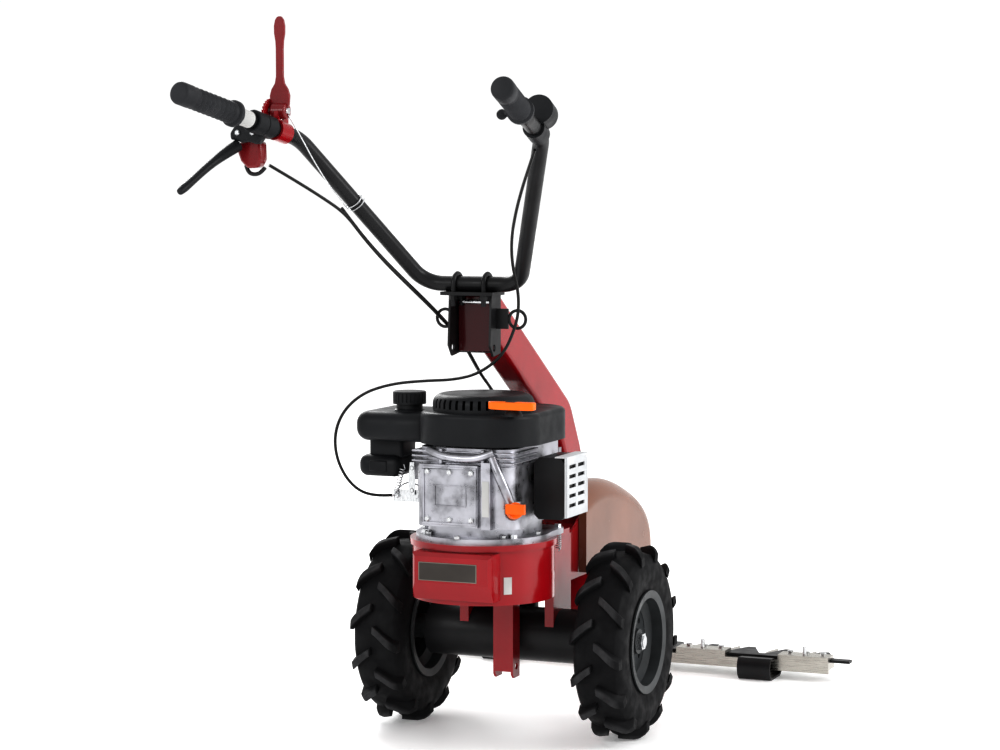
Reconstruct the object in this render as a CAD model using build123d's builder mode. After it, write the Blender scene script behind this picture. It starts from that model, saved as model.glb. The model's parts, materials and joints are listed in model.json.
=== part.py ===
"""Walk-behind sickle-bar brush mower: two driven wheels, an engine over the belt deck, tilting
handlebars with their controls, and an 870 mm reciprocating cutter bar at the front.

Frame: millimetres, +Z up, +Y the way the mower drives, +X to the operator's right.
The origin is on the ground, under the middle of the wheel axle.
"""
from math import cos, degrees, pi, radians, sin, tan
import os

from build123d import *

# ---- driving dimensions ----
tyre_radius = 165
tyre_width = 88
track = 398                      # between the middles of the two tyres
rim_flange_radius = 87
bead_radius = 77
axle_shaft_radius = 10
axle_casing_radius = 46
axle_casing_wall = 6
crank_y = -140                   # the engine's vertical crankshaft
deck_bottom = 252
deck_top = 340
deck_wall = 3
deck_rear_radius = 118
deck_half_width = 80
engine_plate = 10
cutter_crank_y = 310             # vertical crank that drives the knife
rocker_pivot_y = 420
bar_y = 597                      # middle of the cutter bar
bar_half_length = 398
cutting_width = 870
knife_stroke = 76.2
finger_pitch = 76.2
tube_radius = 12.5
tube_wall = 1.6
clamp_y, clamp_z = -187, 770     # the handlebar's lower run, on which it tilts
clamp_half_width = 84
shoulder = (205, -400, 1003)     # upper bend of the right handlebar arm
grip_end = (258, -683, 1067)
grip_radius = 17.5
grip_length = 128
cable_radius = 2.5
running_clearance = 0.05         # shafts in their bearings
moving_gap = 0.5                 # curved faces of pieces that move past each other
contact_gap = 0.3

# ---- places worked out from them ----
axle_z = tyre_radius
half_track = track / 2
engine_seat = deck_top + engine_plate
worm_y = 40
worm_wheel_radius = 28
worm_radius = worm_y - worm_wheel_radius - 1
traction_belt_z = 300
cutter_belt_z = 270
belt_height = 12
knife_z = 41
rocker_length = bar_y - rocker_pivot_y
swing = degrees(knife_stroke / 2 / rocker_length)
crank_arm = (rocker_pivot_y - cutter_crank_y) * sin(radians(swing))

pieces = {}


def keep(name, piece):
    """Labels a finished piece and remembers it under its node's name."""
    piece.part.label = name
    pieces[name] = piece


def block(x, y, z, mode=Mode.ADD):
    """A box between two limits along each axis."""
    with Locations(((x[0] + x[1]) / 2, (y[0] + y[1]) / 2, (z[0] + z[1]) / 2)):
        Box(x[1] - x[0], y[1] - y[0], z[1] - z[0], mode=mode)


def post(x, y, z, radius, mode=Mode.ADD):
    """An upright cylinder between two heights."""
    with BuildSketch(Plane.XY.offset(z[0])) as disc:
        with Locations((x, y)):
            Circle(radius)
    extrude(disc.sketch, amount=z[1] - z[0], mode=mode)


def cross_rod(x, y, z, radius, mode=Mode.ADD):
    """A cylinder along X between two limits."""
    with BuildSketch(Plane.YZ.offset(x[0])) as disc:
        with Locations((y, z)):
            Circle(radius)
    extrude(disc.sketch, amount=x[1] - x[0], mode=mode)


def rod(start, end, radius, mode=Mode.ADD):
    """A cylinder from one point to another."""
    run = Vector(end) - Vector(start)
    with BuildSketch(Plane(origin=start, z_dir=run)) as disc:
        Circle(radius)
    extrude(disc.sketch, amount=run.length, mode=mode)


def plate_x(x, outline, mode=Mode.ADD):
    """A plate across X whose outline is given in Y and Z."""
    with BuildSketch(Plane.YZ.offset(x[0])) as face:
        with BuildLine():
            Polyline(*outline, close=True)
        make_face()
    extrude(face.sketch, amount=x[1] - x[0], mode=mode)


def plate_y(y, outline, mode=Mode.ADD):
    """A plate across Y whose outline is given in X and Z."""
    with BuildSketch(Plane.XZ.offset(-y[1])) as face:
        with BuildLine():
            Polyline(*outline, close=True)
        make_face()
    extrude(face.sketch, amount=y[1] - y[0], mode=mode)


def rounded_slab(x, y, z, corner, mode=Mode.ADD):
    """A slab with rounded upright corners."""
    with BuildSketch(Plane.XY.offset(z[0])) as face:
        with Locations(((x[0] + x[1]) / 2, (y[0] + y[1]) / 2)):
            RectangleRounded(x[1] - x[0], y[1] - y[0], corner)
    extrude(face.sketch, amount=z[1] - z[0], mode=mode)


def hexagon(base, up, radius, height):
    """A hexagonal head or nut that stands on the base point."""
    with BuildSketch(Plane(origin=base, z_dir=up)) as face:
        RegularPolygon(radius, 6)
    extrude(face.sketch, amount=height)


def bolt(base, up, shank, reach, head, head_height):
    """A hexagon bolt: its head sits on the base point and its shank goes the other way."""
    hexagon(base, up, head, head_height)
    with BuildSketch(Plane(origin=base, z_dir=up)) as disc:
        Circle(shank)
    extrude(disc.sketch, amount=-reach)


# ---- wheels ----
def turned(outline, centre_x):
    """Turns a profile of (distance from the wheel's middle, radius) about the axle."""
    with BuildSketch(Plane.XZ) as profile:
        with BuildLine():
            Polyline(*[(centre_x + x, axle_z + r) for x, r in outline], close=True)
        make_face()
    revolve(profile.sketch, axis=Axis((0, 0, axle_z), (1, 0, 0)))


rim_half = tyre_width / 2
rim_wall = 3
well_slope = 8                   # between the bead seat and the drop centre
hub_radius = 21
disc_offset = 12
lugs_per_side = 13
lug_width = 17
lug_sweep = 38                   # how far a lug leans round the tyre, in degrees
carcass_radius = tyre_radius - 13

bead_seat = bead_radius - contact_gap
well_radius = 62
well_half = 14
rim_side = [(rim_half, rim_flange_radius), (rim_half - 2, bead_seat - rim_wall),
            (well_half + well_slope + 1, bead_seat - rim_wall), (well_half + 1, well_radius - rim_wall)]
rim_seat = [(well_half, well_radius), (well_half + well_slope, bead_seat),
            (rim_half - rim_wall - 2, bead_seat), (rim_half - rim_wall, rim_flange_radius)]
rim_outline = (rim_side + [(-x, r) for x, r in reversed(rim_side)]
               + [(-x, r) for x, r in reversed(rim_seat)] + rim_seat)
stud_circle, stud_hole = 42, 5
hub_inward, hub_outward = 40, 26
with BuildPart() as rims:
    for side in (-1, 1):
        centre = side * half_track
        turned(rim_outline, centre)
        disc_rim = well_radius - rim_wall + 0.5
        turned([(side * disc_offset, hub_radius - 2), (side * (disc_offset + 4), hub_radius - 2),
                (side * (disc_offset + 2), disc_rim), (side * (disc_offset - 2), disc_rim)], centre)
        hub = sorted([-side * hub_inward, side * hub_outward])
        turned([(hub[0], axle_shaft_radius), (hub[1], axle_shaft_radius), (hub[1], hub_radius),
                (hub[0], hub_radius)], centre)
        for number in range(4):
            angle = radians(45 + 90 * number)
            y, z = stud_circle * cos(angle), axle_z + stud_circle * sin(angle)
            cross_rod((centre - 20, centre + 20), y, z, stud_hole, mode=Mode.SUBTRACT)
keep("rims", rims)

tyre_half = tyre_width / 2
bead_toe, bead_heel = 14, 6      # how far inside the tyre's edge the two edges of a bead lie
bead, crown = axle_z + bead_radius, axle_z + carcass_radius
crown_drop = 7                   # from the middle of the tread to its shoulder
half_tread, half_inside = tyre_half - 9, tyre_half - bead_toe + 1
lug_lean = 2 * pi * tyre_radius * lug_sweep / 360 / 3
with BuildPart() as tyres:
    for side in (-1, 1):
        centre = side * half_track
        with BuildSketch(Plane.XZ) as profile:
            with BuildLine():
                for hand in (-1, 1):
                    toe = centre + hand * (tyre_half - bead_toe)
                    heel = centre + hand * (tyre_half - bead_heel)
                    side_wall, tread_edge = centre + hand * tyre_half, centre + hand * half_tread
                    inner_edge = centre + hand * half_inside
                    Polyline((toe, bead), (heel, bead), (heel, bead + 11))
                    shoulder_point = (tread_edge, crown - crown_drop)
                    ThreePointArc((heel, bead + 11), (side_wall, bead + 40), shoulder_point)
                    ThreePointArc((toe, bead), (heel, bead + 38), (inner_edge, crown - 2 * crown_drop))
                ThreePointArc((centre - half_tread, crown - crown_drop), (centre, crown),
                              (centre + half_tread, crown - crown_drop))
                ThreePointArc((centre - half_inside, crown - 2 * crown_drop), (centre, crown - 9),
                              (centre + half_inside, crown - 2 * crown_drop))
            make_face()
        revolve(profile.sketch, axis=Axis((0, 0, axle_z), (1, 0, 0)))
        for hand in (-1, 1):
            for number in range(lugs_per_side):
                turn = radians(-90 + (number + (0.5 if hand > 0 else 0)) * 360 / lugs_per_side)
                outward = Vector(0, cos(turn), sin(turn))
                base = Vector(centre, 0, axle_z) + outward * (carcass_radius - 9)
                with BuildSketch(Plane(origin=base, x_dir=(1, 0, 0), z_dir=outward)) as lug:
                    with BuildLine():
                        near, far = hand * 3, hand * (tyre_half + 1)
                        Polyline((near, -lug_width / 2), (far, lug_lean - lug_width / 2),
                                 (far, lug_lean + lug_width / 2 + 3), (near, lug_width / 2), close=True)
                    make_face()
                extrude(lug.sketch, amount=tyre_radius - carcass_radius + 9)
    cross_rod((-half_track - tyre_half, half_track + tyre_half), 0, axle_z, tyre_radius, mode=Mode.INTERSECT)
keep("tyres", tyres)

with BuildPart() as axle_shaft:
    cross_rod((-half_track - 36, half_track + 36), 0, axle_z, axle_shaft_radius)
keep("axle_shaft", axle_shaft)

nut_width = 15
with BuildPart() as wheel_nuts:
    for side in (-1, 1):
        start = side * (half_track + hub_outward)
        with BuildSketch(Plane.YZ.offset(start)):
            with Locations((0, axle_z)):
                RegularPolygon(nut_width, 6)
                Circle(axle_shaft_radius, mode=Mode.SUBTRACT)
        extrude(amount=side * 8)
keep("wheel_nuts", wheel_nuts)

# ---- axle casing, bearings and worm drive ----
casing_half = half_track - tyre_width / 2 - 4
casing_bore = axle_casing_radius - axle_casing_wall
worm_case_radius = 25
worm_case_bore = 20
worm_case_top = deck_bottom

with BuildPart() as axle_casing:
    cross_rod((-casing_half, casing_half), 0, axle_z, axle_casing_radius)
    post(0, worm_y, (axle_z - 40, worm_case_top), worm_case_radius)
    cross_rod((-casing_half, casing_half), 0, axle_z, casing_bore, mode=Mode.SUBTRACT)
    post(0, worm_y, (axle_z - 34, worm_case_top), worm_case_bore, mode=Mode.SUBTRACT)
keep("axle_casing", axle_casing)

bearing_length = 14
worm_shaft_radius = 8
seal_length = 5
with BuildPart() as axle_bearings:
    for side in (-1, 1):
        outer = casing_half - seal_length
        ends = sorted([side * outer, side * (outer - bearing_length)])
        cross_rod(ends, 0, axle_z, casing_bore)
        cross_rod(ends, 0, axle_z, axle_shaft_radius + running_clearance, mode=Mode.SUBTRACT)
    bearing_z = (worm_case_top - 16, worm_case_top)
    post(0, worm_y, bearing_z, worm_case_bore)
    post(0, worm_y, bearing_z, worm_shaft_radius + running_clearance, mode=Mode.SUBTRACT)
keep("bearings", axle_bearings)

with BuildPart() as axle_seals:
    for side in (-1, 1):
        ends = sorted([side * casing_half, side * (casing_half - seal_length)])
        cross_rod(ends, 0, axle_z, casing_bore)
        cross_rod(ends, 0, axle_z, axle_shaft_radius + contact_gap, mode=Mode.SUBTRACT)
keep("axle_seals", axle_seals)

worm_wheel_teeth = 30
with BuildPart() as worm_wheel:
    cross_rod((-11, 11), 0, axle_z, worm_wheel_radius)
    cross_rod((-11, 11), 0, axle_z, axle_shaft_radius, mode=Mode.SUBTRACT)
    for number in range(worm_wheel_teeth):
        angle = 2 * pi * number / worm_wheel_teeth
        y, z = worm_wheel_radius * cos(angle), axle_z + worm_wheel_radius * sin(angle)
        cross_rod((-11, 11), y, z, 1.3, mode=Mode.SUBTRACT)
keep("worm_wheel", worm_wheel)

with BuildPart() as worm_shaft:
    post(0, worm_y, (axle_z - 30, traction_belt_z + belt_height + 8), worm_shaft_radius)
    post(0, worm_y, (axle_z - 24, axle_z + 24), worm_radius)
    for number in range(5):
        height = axle_z - 18 + 9 * number
        with BuildSketch(Plane.XZ.offset(-worm_y)):
            with Locations((worm_radius, height)):
                Rectangle(3, 3.5)
        revolve(axis=Axis((0, worm_y, 0), (0, 0, 1)), mode=Mode.SUBTRACT)
keep("worm_shaft", worm_shaft)


# ---- pulleys and belts ----
belt_depth = 9
belt_sink = belt_depth - 1.5     # the belt's inner face, below the pulley's rim


def pulley(x, y, z, radius, bore):
    """A V-pulley whose groove takes the belt's height, on a bore."""
    rim = 3
    low, high = z - rim, z + belt_height + rim
    with BuildSketch(Plane.XZ.offset(-y)) as profile:
        with BuildLine():
            Polyline((x + bore, low), (x + radius, low),
                     (x + radius, low + 1), (x + radius - belt_depth, z - moving_gap),
                     (x + radius - belt_depth, z + belt_height + moving_gap), (x + radius, high - 1),
                     (x + radius, high), (x + bore, high), close=True)
        make_face()
    revolve(profile.sketch, axis=Axis((x, y, 0), (0, 0, 1)))


def belt(start_y, start_radius, end_y, end_radius, z):
    """A V-belt loop round two pulleys on the middle line."""
    for grow, mode in ((belt_depth - 2 - belt_sink, Mode.ADD), (-belt_sink, Mode.SUBTRACT)):
        with BuildSketch(Plane.XY.offset(z)) as loop:
            with Locations((0, start_y)):
                Circle(start_radius + grow)
            with Locations((0, end_y)):
                Circle(end_radius + grow)
            make_hull()
        extrude(loop.sketch, amount=belt_height, mode=mode)


engine_pulley_radius = 36
traction_pulley_radius = 54
cutter_pulley_radius = 50
crank_stub_radius = 12.7

with BuildPart() as engine_pulley:
    pulley(0, crank_y, traction_belt_z, engine_pulley_radius, crank_stub_radius)
    pulley(0, crank_y, cutter_belt_z, engine_pulley_radius, crank_stub_radius)
    post(0, crank_y, (cutter_belt_z + belt_height, traction_belt_z), crank_stub_radius + 8)
    post(0, crank_y, (cutter_belt_z - 10, traction_belt_z + 30), crank_stub_radius, mode=Mode.SUBTRACT)
keep("engine_pulley", engine_pulley)

with BuildPart() as traction_pulley:
    pulley(0, worm_y, traction_belt_z, traction_pulley_radius, worm_shaft_radius)
keep("traction_pulley", traction_pulley)

cutter_shaft_radius = 10
with BuildPart() as cutter_pulley:
    pulley(0, cutter_crank_y, cutter_belt_z, cutter_pulley_radius, cutter_shaft_radius)
keep("cutter_pulley", cutter_pulley)

with BuildPart() as drive_belts:
    belt(crank_y, engine_pulley_radius, worm_y, traction_pulley_radius, traction_belt_z)
    belt(crank_y, engine_pulley_radius, cutter_crank_y, cutter_pulley_radius, cutter_belt_z)
keep("drive_belts", drive_belts)

# ---- red deck, mounting plate and frame ----
deck_front_y = cutter_crank_y
plate_thick = 3


def deck_outline(grow):
    """The deck's outline, wide round the engine and narrow towards the front."""
    with Locations((0, crank_y)):
        Circle(deck_rear_radius + grow)
    with Locations((0, deck_front_y)):
        Circle(deck_half_width - 6 + grow)
    with Locations((0, (crank_y + deck_front_y) / 2)):
        Rectangle(2 * (deck_half_width + grow), deck_front_y - crank_y)


axle_saddle_x = 86
side_bolts = [(170 + 28 * step, 312 - 4 * step) for step in range(4)]
side_bolt_radius = 3

with BuildPart() as deck:
    with BuildSketch(Plane.XY.offset(deck_bottom)) as outside:
        deck_outline(0)
    extrude(outside.sketch, amount=deck_top - deck_bottom)
    with BuildSketch(Plane.XY.offset(deck_bottom)) as inside:
        deck_outline(-deck_wall)
    extrude(inside.sketch, amount=deck_top - deck_wall - deck_bottom, mode=Mode.SUBTRACT)
    post(0, crank_y, (deck_bottom, deck_top), 32, mode=Mode.SUBTRACT)
    post(0, worm_y, (deck_bottom, deck_top), 14, mode=Mode.SUBTRACT)
    for y, z in side_bolts:
        cross_rod((-deck_half_width - 1, deck_half_width + 1), y, z, side_bolt_radius, mode=Mode.SUBTRACT)
    # the thick plate that the engine bolts to
    post(0, crank_y, (deck_top, engine_seat), deck_rear_radius + 4)
    block((-95, 95), (crank_y, crank_y + 150), (deck_top, engine_seat))
    post(0, crank_y, (deck_top, engine_seat), 40, mode=Mode.SUBTRACT)
    # the two saddles that join it to the axle casing
    for side in (-1, 1):
        ends = sorted([side * axle_saddle_x, side * (axle_saddle_x - 16)])
        block(ends, (-41, 41), (axle_z, deck_top - deck_wall))
        cross_rod((ends[0] - 1, ends[1] + 1), 0, axle_z, axle_casing_radius, mode=Mode.SUBTRACT)
keep("deck", deck)

# A weighted box hangs on the rear of the deck, with chamfered edges.
box_half = 69.3
box_rear = -277
box_low, box_high = 261, deck_top - 2
with BuildPart() as counterweight:
    box_side = [(box_rear, 289), (box_rear + 12, box_low), (-200, box_low), (-200, box_high),
                (box_rear + 8, box_high), (box_rear, box_high - 6)]
    plate_x((-box_half, box_half), box_side)
    post(0, crank_y, (box_low - 1, box_high + 1), deck_rear_radius, mode=Mode.SUBTRACT)
    upright = counterweight.edges().filter_by(Axis.Z).sort_by(Axis.Y)
    chamfer(upright[:2], length=5)
keep("counterweight", counterweight)

# A folded leg below the deck keeps the mower upright when its rear is set down.
spur_x = (-8, 28)
spur_wall = 4
spur_y = (-80, -50)
spur_foot = 101
with BuildPart() as rear_spur:
    spur_side = [(spur_y[0], deck_bottom), (spur_y[0], spur_foot + 7), (spur_y[0] + 6, spur_foot),
                 (spur_y[1], spur_foot), (spur_y[1], deck_bottom)]
    plate_x((spur_x[0], spur_x[0] + spur_wall), spur_side)
    plate_x((spur_x[1] - spur_wall, spur_x[1]), spur_side)
    block(spur_x, (spur_y[0], spur_y[0] + spur_wall), (spur_foot + 11, deck_bottom))
    block(spur_x, (spur_y[0] - 6, spur_y[1]), (deck_bottom - spur_wall, deck_bottom))
    cross_rod((spur_x[0] - 1, spur_x[1] + 1), spur_y[0] + 16, spur_foot + 19, 6, mode=Mode.SUBTRACT)
keep("rear_spur", rear_spur)

side_outline = [(42, 255), (42, 332), (115, 370), (231, 356), (269, 300), (300, 262), (300, 255)]
with BuildPart() as side_plates:
    for side in (-1, 1):
        ends = sorted([side * deck_half_width, side * (deck_half_width + plate_thick)])
        plate_x(ends, side_outline)
        for y, z in side_bolts:
            cross_rod(ends, y, z, side_bolt_radius, mode=Mode.SUBTRACT)
keep("side_plates", side_plates)

flange_bolts = [(79, crank_y - 62), (-79, crank_y - 62), (97, crank_y + 90), (-97, crank_y + 90)]
flange_foot = 9
with BuildPart() as frame_bolts:
    for x, y in flange_bolts:
        bolt((x, y, engine_seat + flange_foot), (0, 0, 1), 4, flange_foot, 6, 5)
    for side in (-1, 1):
        x = side * (deck_half_width + plate_thick)
        for y, z in side_bolts:
            bolt((x, y, z), (side, 0, 0), side_bolt_radius, plate_thick + deck_wall, 5.5, 4)
keep("frame_bolts", frame_bolts)

# ---- steering column ----
column_width = 46
column_depth = 72
column_foot_y = 231
column_top = (-168, 738)
column_end_y = -158             # the flat end that the handlebar bracket is welded to
column_bend = (180, 521)
column_knee = (column_foot_y, 440)
with BuildPart() as column:
    run = Vector(0, column_bend[0] - column_top[0], column_bend[1] - column_top[1])
    with BuildLine() as centre:
        column_foot = (0, column_foot_y, deck_top + 4)
        FilletPolyline((0, *column_top), (0, *column_bend), (0, *column_knee), column_foot, radius=45)
    with BuildSketch(Plane(origin=(0, *column_top), x_dir=(1, 0, 0), z_dir=run)) as section:
        RectangleRounded(column_width, column_depth, 9)
        RectangleRounded(column_width - 6, column_depth - 6, 6, mode=Mode.SUBTRACT)
    sweep(section.sketch, path=centre.line)
    block((-60, 60), (-260, column_end_y), (600, 800), mode=Mode.SUBTRACT)
    block((-deck_half_width, deck_half_width), (150, 290), (deck_top, deck_top + 4))
keep("column", column)

# ---- hood over the front ----
hood_half = 98
hood_wall = 3
hood_front = 455


def hood_block(inset, crown):
    """The hood as a filled shape, drawn in by its wall."""
    rear, foot = 84 + inset, 262 - inset
    with BuildPart() as filled:
        with BuildSketch(Plane.YZ.offset(inset - hood_half)):
            with BuildLine():
                Line((rear, foot), (rear, 398 - inset))
                Spline((rear, 398 - inset), (188, 413 - inset), (334, 381 - inset), (438 - inset, 318),
                       (hood_front - inset, foot))
                Line((hood_front - inset, foot), (rear, foot))
            make_face()
        extrude(amount=2 * (hood_half - inset))
        fillet(filled.edges().filter_by(GeomType.BSPLINE), radius=crown)
    return filled.part


hood_filled = hood_block(0, 34)
hood_hollow = hood_block(hood_wall, 31)
with BuildPart() as hood:
    add(hood_filled)
    add(hood_hollow, mode=Mode.SUBTRACT)
    block((-30, 30), (60, 282), (340, 440), mode=Mode.SUBTRACT)
    block((-74, 74), (60, 132), (330, 440), mode=Mode.SUBTRACT)
    block((-hood_half + 14, hood_half - 14), (60, 100), (250, 440), mode=Mode.SUBTRACT)
keep("hood", hood)

# ---- engine ----
flange_z = (engine_seat, engine_seat + 25)
case_top = 476
shroud_z = (508, 560)
dome_top = 588
case_half = 68
case_rear = -240
shroud_x = (-98, 108)
shroud_y = (-235, 15)

with BuildPart() as sump_flange:
    with BuildSketch(Plane.XY.offset(flange_z[0])) as base:
        with Locations((0, crank_y)):
            Circle(112)
        with Locations((-4, crank_y + 45)):
            RectangleRounded(226, 130, 30)
    extrude(base.sketch, amount=flange_foot)
    rounded_slab((-84, 84), (crank_y - 84, crank_y + 100), (flange_z[0] + flange_foot, flange_z[1]), 60)
    post(0, crank_y, (flange_z[0], flange_z[1]), crank_stub_radius + 10, mode=Mode.SUBTRACT)
    for x, y in flange_bolts:
        post(x, y, (flange_z[0], flange_z[0] + flange_foot), 4, mode=Mode.SUBTRACT)
keep("sump_flange", sump_flange)

filler_mouth = Vector(86, -222, 404)
filler_lean = Vector(12, -16, 6).normalized()
cavity_radius = 52
barrel_z = 430                   # the cylinder lies forward of the crankcase, with fins across it
barrel_end = 74
barrel_bore = 30
with BuildPart() as crankcase:
    rounded_slab((-case_half - 18, case_half + 18), (case_rear + 8, 10), (flange_z[1], case_top), 26)
    rounded_slab((-84, 84), (-225, 8), (case_top, shroud_z[0] - 4), 30)
    block((-case_half, 31), (case_rear, case_rear + 30), (flange_z[1] + 2, case_top + 2))
    block((38, 54), (case_rear - 2, case_rear + 30), (flange_z[1], case_top + 8))
    rod((74, -206, flange_z[1]), (74, -206, 420), 20)
    rod(filler_mouth - filler_lean * 21, filler_mouth, 14)
    post(0, crank_y, (flange_z[1], 470), cavity_radius, mode=Mode.SUBTRACT)
    post(0, crank_y, (470, shroud_z[0] - 4), crank_stub_radius + running_clearance, mode=Mode.SUBTRACT)
    for fin in range(7):
        block((-52, 52), (14 + 8 * fin, 17 + 8 * fin), (384, 476))
    rod((0, 8, barrel_z), (0, barrel_end, barrel_z), barrel_bore + 8)
    rod((0, -100, barrel_z), (0, barrel_end, barrel_z), barrel_bore, mode=Mode.SUBTRACT)
keep("crankcase", crankcase)

with BuildPart() as cylinder_head:
    block((-50, 50), (barrel_end, barrel_end + 14), (386, 478))
    for fin in range(4):
        block((-50, 50), (barrel_end + 14, barrel_end + 22), (390 + 24 * fin, 394 + 24 * fin))
keep("cylinder_head", cylinder_head)

with BuildPart() as valve_cover:
    block((-40, 33), (barrel_end + 22, barrel_end + 40), (402, 466))
    fillet(valve_cover.edges().filter_by(Axis.Y), radius=12)
keep("valve_cover", valve_cover)

with BuildPart() as spark_plug:
    rod((44, barrel_end + 14, 452), (44, barrel_end + 36, 452), 6)
    rod((44, barrel_end + 36, 452), (44, barrel_end + 52, 452), 9)
keep("spark_plug", spark_plug)

with BuildPart() as crankshaft:
    post(0, crank_y, (cutter_belt_z - 8, flange_z[1] + 14), crank_stub_radius)
    post(0, crank_y, (flange_z[1] + 8, barrel_z - 8), 30)
    post(0, crank_y, (barrel_z - 8, barrel_z + 8), 16)
    post(0, crank_y, (barrel_z + 8, barrel_z + 22), 30)
    post(0, crank_y, (barrel_z + 22, 540), crank_stub_radius)
keep("crankshaft", crankshaft)

fan_radius = 84
with BuildPart() as flywheel_fan:
    post(0, crank_y, (513, 521), fan_radius)
    for vane in range(16):
        angle = 360 / 16 * vane
        with BuildSketch(Plane.XY.offset(521)) as blade:
            with Locations(Location((0, crank_y, 0), (0, 0, angle))):
                with Locations((66, 0)):
                    Rectangle(30, 3)
        extrude(blade.sketch, amount=18)
    post(0, crank_y, (513, 521), crank_stub_radius, mode=Mode.SUBTRACT)
keep("flywheel_fan", flywheel_fan)

shroud_wall = 3
dome_radius = 84
slot_count = 11
slot_turn = 9
with BuildPart() as shroud:
    rounded_slab(shroud_x, shroud_y, shroud_z, 74)
    fillet(shroud.faces().sort_by(Axis.Z)[-1].edges(), radius=8)
    with BuildPart(mode=Mode.PRIVATE) as hollow:
        rounded_slab((shroud_x[0] + shroud_wall, shroud_x[1] - shroud_wall),
                     (shroud_y[0] + shroud_wall, shroud_y[1] - shroud_wall),
                     (shroud_z[0], shroud_z[1] - shroud_wall), 71)
    add(hollow.part, mode=Mode.SUBTRACT)
    with BuildPart(mode=Mode.PRIVATE) as dome:
        post(0, crank_y, (shroud_z[1] - 6, dome_top), dome_radius)
        fillet(dome.faces().sort_by(Axis.Z)[-1].edges(), radius=16)
    add(dome.part)
    post(0, crank_y, (shroud_z[0], dome_top - shroud_wall), dome_radius - 18, mode=Mode.SUBTRACT)
    post(0, crank_y, (shroud_z[0], shroud_z[1] - shroud_wall), dome_radius + 4, mode=Mode.SUBTRACT)
    for number in range(slot_count):
        turn = slot_turn * (number - (slot_count - 1) / 2) - 90
        outward = (cos(radians(turn)), sin(radians(turn)), 0)
        with BuildSketch(Plane(origin=(0, crank_y, 566), x_dir=outward, z_dir=(0, 0, 1))) as slot:
            with Locations((dome_radius - 8, 0)):
                Rectangle(26, 5)
        extrude(slot.sketch, amount=15, mode=Mode.SUBTRACT)
keep("shroud", shroud)

# ---- fuel tank, air filter and carburettor on the left ----
tank_x, tank_y, tank_z = (-228, shroud_x[0]), (-165, -15), (502, 552)
filler = (-148, -110)
neck_height = 11
with BuildPart() as fuel_tank:
    rounded_slab(tank_x, tank_y, tank_z, 30)
    fillet(fuel_tank.faces().sort_by(Axis.Z)[-1].edges(), radius=14)
    post(*filler, (tank_z[1] - 4, tank_z[1] + neck_height), 22)
    block((tank_x[0] + 40, tank_x[1] - 6), (-150, -30), (tank_z[0] + 4, tank_z[1] - 6), mode=Mode.SUBTRACT)
keep("fuel_tank", fuel_tank)

cap_base = tank_z[1] + neck_height + contact_gap
cap_radius = 28
cap_flutes = 24
with BuildPart() as fuel_cap:
    post(*filler, (cap_base, cap_base + 21), cap_radius)
    for flute in range(cap_flutes):
        angle = 2 * pi * flute / cap_flutes
        x, y = filler[0] + cap_radius * cos(angle), filler[1] + cap_radius * sin(angle)
        post(x, y, (cap_base + 3, cap_base + 18), 1.6, mode=Mode.SUBTRACT)
    fillet(fuel_cap.faces().sort_by(Axis.Z)[-1].edges(), radius=2)
keep("fuel_cap", fuel_cap)

with BuildPart() as air_filter_case:
    rounded_slab((-238, -160), (-128, -40), (438, 474), 17)
    rounded_slab((-222, -160), (-115, -55), (474, 502), 12)
keep("air_filter_case", air_filter_case)

with BuildPart() as carburettor:
    block((-160, -122), (-72, -38), (430, 478))
    rod((-122, -55, 455), (-86, -55, 455), 15)
    post(-141, -55, (408, 430), 16)
keep("carburettor", carburettor)

arm_x, arm_z = -141, 452
with BuildPart() as throttle_arm:
    rod((arm_x, -73, arm_z), (arm_x, -84, arm_z), 4)
    block((arm_x - 5, arm_x + 5), (-81, -78), (arm_z - 40, arm_z))
keep("throttle_arm", throttle_arm)

with BuildPart() as governor_bracket:
    block((-120, -86), (-124, -120), (384, 470))
    block((-172, -120), (-124, -120), (398, 418))
    block((-90, -86), (-120, -100), (384, 470))
keep("governor_bracket", governor_bracket)

# ---- muffler and its guard on the right ----
with BuildPart() as muffler:
    plate_y((-146, -58), [(92, 392), (100, 384), (140, 384), (148, 394), (148, 474), (138, 486), (102, 486),
                          (92, 478)])
    block((86, 92), (-120, -84), (430, 470))
keep("muffler", muffler)

guard_x = 150
with BuildPart() as muffler_guard:
    plate_x((guard_x, guard_x + 2), [(-150, 388), (-54, 388), (-54, 476), (-66, 486), (-150, 486)])
    block((130, guard_x + 2), (-150, -54), (486, 488))
    block((guard_x - 2, guard_x), (-152, -146.3), (388, 486))
    for row in range(5):
        for start in (-140, -100):
            middle = 404 + 16 * row
            block((guard_x - 1, guard_x + 3), (start, start + 30), (middle, middle + 6), mode=Mode.SUBTRACT)
keep("muffler_guard", muffler_guard)

# ---- recoil starter handle ----
handle_z = (571, 584)
handle_y = -236
with BuildPart() as starter_handle:
    with BuildSketch(Plane.XY.offset(handle_z[0])) as grip:
        with Locations((89, handle_y)):
            RectangleRounded(80, 22, 6)
    extrude(grip.sketch, amount=handle_z[1] - handle_z[0])
    block((82, 96), (handle_y - 7, handle_y + 7), (handle_z[1] - 6, handle_z[1]), mode=Mode.SUBTRACT)
keep("starter_handle", starter_handle)

# ---- oil dipstick ----
with BuildPart() as dipstick:
    rod(filler_mouth + filler_lean * 4, filler_mouth + filler_lean * 18, 13)
    rod(filler_mouth + filler_lean * 18, filler_mouth + filler_lean * 28, 8)
    block((84, 116), (-250, -242), (404, 420))
keep("dipstick", dipstick)

# ---- handlebar and its clamp ----
arm = Vector(*grip_end) - Vector(*shoulder)
arm_length = arm.length
grip_start = arm_length - grip_length
shoulder_bend, clamp_bend = 62, 45


def along(side, distance, across=0, above=0):
    """A point beside the arm that carries a grip, measured from its shoulder."""
    point = Vector(*shoulder) + arm.normalized() * distance
    return (side * (point.X + across), point.Y, point.Z + above)


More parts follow.
